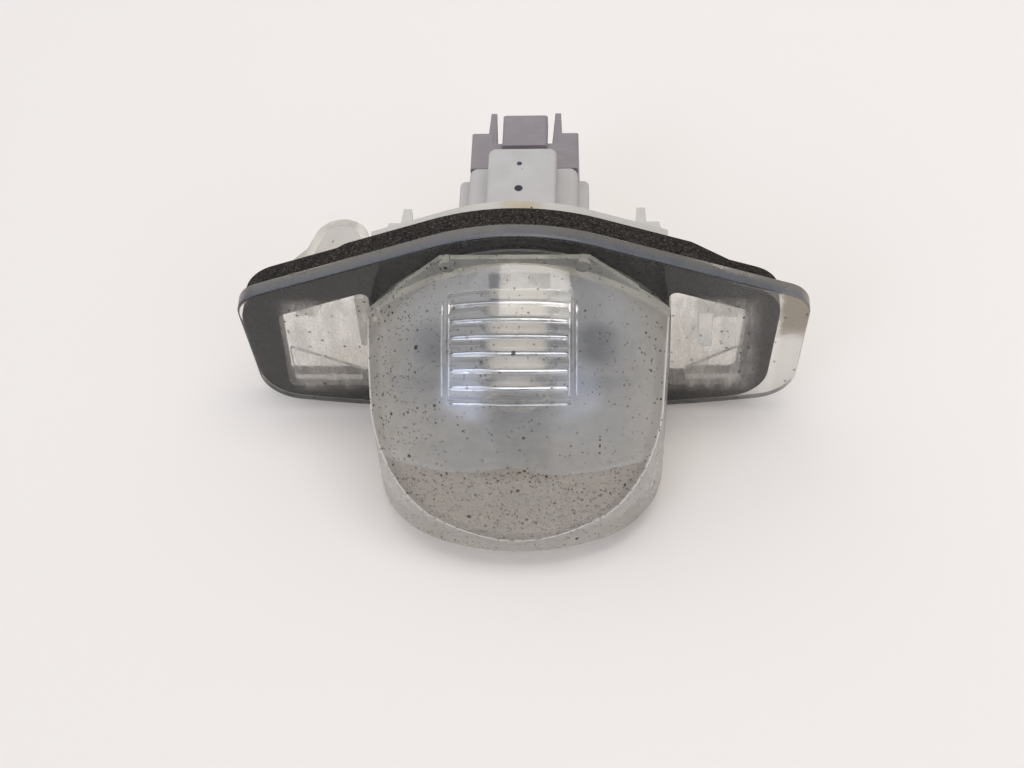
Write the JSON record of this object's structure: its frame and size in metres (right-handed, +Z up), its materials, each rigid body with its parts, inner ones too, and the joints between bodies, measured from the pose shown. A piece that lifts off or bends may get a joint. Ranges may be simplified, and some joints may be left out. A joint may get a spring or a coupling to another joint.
{
  "type": "number plate lamp",
  "caption": "Clear domed lamp that lights a car's rear plate: a boat-shaped flange on a foam gasket, a snap leg and hook, and a bulb holder with a plug shroud behind.",
  "frame": {"origin": "centre of the panel seat: on the gasket's rear face plane, at half the flange's length and half its height", "axes": "X along the flange with the fixed hook at +X, the dome points to -Y and the plug to +Y, Z up to the arched edge of the flange"},
  "size_m": [0.0746, 0.0615, 0.036],
  "materials": {
    "clear_lens": "clear, hazed by age",
    "foam": "open foam",
    "housing": "matt moulded",
    "seal": "matt",
    "holder": "matt moulded",
    "shroud": "matt moulded",
    "contact": "bright strip",
    "bulb": "clear",
    "wire": "drawn wire"
  },
  "bodies": {
    "root": {"lens": "clear_lens", "foam_gasket": "foam", "rear_housing": "housing", "holder_seal": "seal", "bulb_holder": "holder", "connector_shroud": "shroud", "contact_left": "contact", "contact_right": "contact", "bulb_glass": "bulb", "filament_lead_left": "wire", "filament_lead_right": "wire", "bulb_filament": "wire"}
  },
  "joints": []
}
